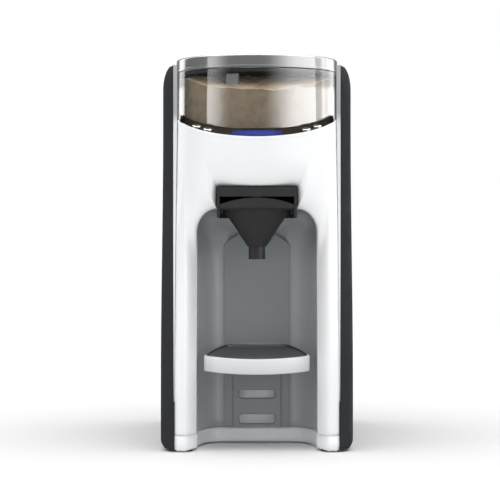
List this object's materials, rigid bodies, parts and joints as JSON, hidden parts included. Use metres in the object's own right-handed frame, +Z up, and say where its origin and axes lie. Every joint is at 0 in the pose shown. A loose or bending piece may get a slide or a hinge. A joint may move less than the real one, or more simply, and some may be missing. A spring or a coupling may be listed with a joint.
{
  "type": "baby formula maker",
  "caption": "Countertop machine that doses formula powder from a clear drum, mixes it with warm water in a funnel and fills a bottle in its bay.",
  "frame": {"origin": "centre of the footprint, on the surface the machine stands on", "axes": "+Z up, -Y towards the user, +X to the user's right"},
  "size_m": [0.18, 0.325, 0.37],
  "materials": {
    "white_shell": "smooth gloss moulding",
    "charcoal_panel": "fine satin texture",
    "light_trim": "satin silver moulding",
    "bay_grey": "satin moulding",
    "kick_grey": "satin moulding",
    "panel_black": "high gloss",
    "display_blue": "backlit display behind a clear front",
    "button_silver": "polished",
    "clear_plastic": "clear gloss",
    "smoked_plastic": "lightly smoked gloss",
    "lid_grey": "gloss",
    "dark_plastic": "satin moulding",
    "works_grey": "plain moulding",
    "tray_dark": "ribbed soft plastic",
    "powder": "fine lumpy powder",
    "rubber_black": "plain",
    "seal_grey": "silicone",
    "steel": "plain",
    "bronze": "sintered",
    "gear_nylon": "plain nylon",
    "board_green": "solder mask",
    "hose_clear": "silicone hose",
    "ribbon_grey": "flat cable"
  },
  "bodies": {
    "housing": {"base_pan": "white_shell", "rubber_feet": "rubber_black", "screws": "steel", "front_shell": "white_shell", "right_side_panel": "charcoal_panel", "left_side_panel": "charcoal_panel", "trim_strips": "light_trim", "bay_liner": "bay_grey", "track_plate": "bay_grey", "kick_panel": "kick_grey", "control_panel": "panel_black", "display": "display_blue", "control_board": "board_green", "ribbon_cable": "ribbon_grey", "drive_bushes": "bronze", "gear_motor": "steel", "gearbox_case": "works_grey", "gearbox_cover": "works_grey", "powder_dock": "dark_plastic", "funnel_housing": "dark_plastic", "water_spout": "works_grey", "internal_frame": "works_grey", "main_board": "board_green", "water_hoses": "hose_clear", "water_pump": "works_grey", "pump_cradle": "rubber_black", "water_heater": "steel", "heater_clamp": "works_grey", "top_deck": "charcoal_panel", "tank_bulkhead": "charcoal_panel", "tank_dock": "charcoal_panel", "rear_cover": "charcoal_panel", "switch_bezel": "panel_black", "cord_gland": "rubber_black", "dock_seal": "seal_grey"},
    "far_left_button": {"button_far_left": "button_silver"},
    "left_button": {"button_left": "button_silver"},
    "right_button": {"button_right": "button_silver"},
    "far_right_button": {"button_far_right": "button_silver"},
    "drive": {"drive_gear": "gear_nylon", "drive_shaft": "steel"},
    "pinion": {"motor_pinion": "steel"},
    "container": {"powder_container": "clear_plastic", "container_floor": "dark_plastic", "formula_powder": "powder"},
    "doser": {"powder_wheel": "works_grey", "stirrer": "works_grey"},
    "lid_seal": {"lid_gasket": "rubber_black"},
    "lid": {"container_lid": "lid_grey"},
    "funnel": {"funnel": "dark_plastic"},
    "tray": {"tray_body": "white_shell", "tray_insert": "tray_dark", "tray_bracket": "dark_plastic"},
    "tank": {"water_tank": "smoked_plastic", "valve_body": "works_grey", "hinge_pins": "steel", "valve_spring": "steel"},
    "tank_lid": {"tank_lid": "charcoal_panel"},
    "valve": {"valve_plunger": "works_grey"},
    "rocker": {"power_rocker": "panel_black"}
  },
  "joints": [
    {"name": "far_left_button_press", "type": "slide", "parent": "housing", "child": "far_left_button", "axis": [0, 0.319, -0.9478], "range_m": [0, 0.001], "stiffness_N_per_m": 1200, "springref_m": -0.0002},
    {"name": "left_button_press", "type": "slide", "parent": "housing", "child": "left_button", "axis": [0, 0.319, -0.9478], "range_m": [0, 0.001], "stiffness_N_per_m": 1200, "springref_m": -0.0002},
    {"name": "right_button_press", "type": "slide", "parent": "housing", "child": "right_button", "axis": [0, 0.319, -0.9478], "range_m": [0, 0.001], "stiffness_N_per_m": 1200, "springref_m": -0.0002},
    {"name": "far_right_button_press", "type": "slide", "parent": "housing", "child": "far_right_button", "axis": [0, 0.319, -0.9478], "range_m": [0, 0.001], "stiffness_N_per_m": 1200, "springref_m": -0.0002},
    {"name": "drive_spin", "type": "hinge", "parent": "housing", "child": "drive", "pos_m": [0, -0.0575, 0.3], "axis": [0, 0, 1], "continuous": true},
    {"name": "pinion_spin", "type": "hinge", "parent": "housing", "child": "pinion", "pos_m": [0, -0.025, 0.285], "axis": [0, 0, 1], "continuous": true},
    {"name": "container_lift", "type": "slide", "parent": "housing", "child": "container", "axis": [0, 0, 1], "range_m": [0, 0.06]},
    {"name": "doser_spin", "type": "hinge", "parent": "container", "child": "doser", "pos_m": [0, -0.0575, 0.3], "axis": [0, 0, 1], "continuous": true},
    {"name": "lid_lift", "type": "slide", "parent": "container", "child": "lid_seal", "axis": [0, 0, 1], "range_m": [0, 0.045]},
    {"name": "lid_twist", "type": "hinge", "parent": "lid_seal", "child": "lid", "pos_m": [0, -0.0575, 0.3], "axis": [0, 0, 1], "range_deg": [0, 25]},
    {"name": "funnel_pull", "type": "slide", "parent": "housing", "child": "funnel", "axis": [0, -1, 0], "range_m": [0, 0.075]},
    {"name": "tray_height", "type": "slide", "parent": "housing", "child": "tray", "axis": [0, 0, 1], "range_m": [-0.0474, 0]},
    {"name": "tank_lift", "type": "slide", "parent": "housing", "child": "tank", "axis": [0, 0, 1], "range_m": [0, 0.12]},
    {"name": "tank_lid_hinge", "type": "hinge", "parent": "tank", "child": "tank_lid", "pos_m": [0, 0.1602, 0.349], "axis": [-1, 0, 0], "range_deg": [0, 95]},
    {"name": "valve_lift", "type": "slide", "parent": "tank", "child": "valve", "axis": [0, 0, 1], "range_m": [0, 0.0025], "stiffness_N_per_m": 400, "springref_m": -0.0006, "deforming": ["valve_spring"]},
    {"name": "rocker_tilt", "type": "hinge", "parent": "housing", "child": "rocker", "pos_m": [-0.045, 0.1554, 0.037], "axis": [1, 0, 0], "range_deg": [0, 16]}
  ],
  "couplings": [
    {"joint": "pinion_spin", "follows": "drive_spin", "ratio": -4},
    {"joint": "doser_spin", "follows": "drive_spin", "ratio": 1}
  ]
}
